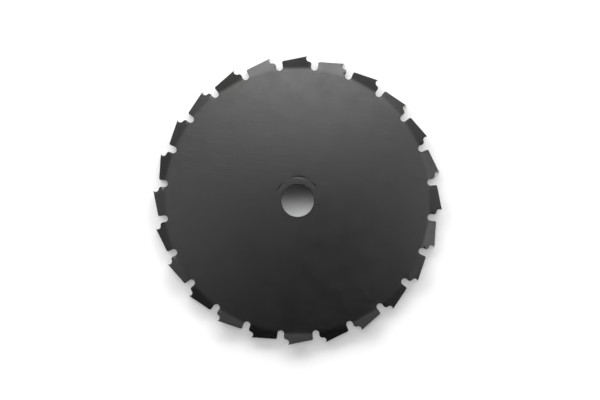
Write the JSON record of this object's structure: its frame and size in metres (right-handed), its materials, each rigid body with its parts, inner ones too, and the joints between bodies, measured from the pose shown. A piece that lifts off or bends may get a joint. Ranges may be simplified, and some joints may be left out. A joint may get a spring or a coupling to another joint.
{
  "type": "brush cutter blade",
  "caption": "Round dark steel saw blade for a brush cutter, with set and filed teeth round its rim, round-bottomed gullets and a plain centre bore.",
  "frame": {"origin": "centre of the bore, at half the plate's thickness", "axes": "+Z along the bore axis, out of the face with the shallow ring; +Y through the middle of a tooth set towards +Z"},
  "size_m": [0.2244, 0.2244, 0.0028],
  "materials": {
    "blade_steel": "hardened and ground plate, dark grey satin with a film of oil, brighter where the teeth are filed"
  },
  "bodies": {
    "root": {"blade": "blade_steel"}
  },
  "joints": []
}
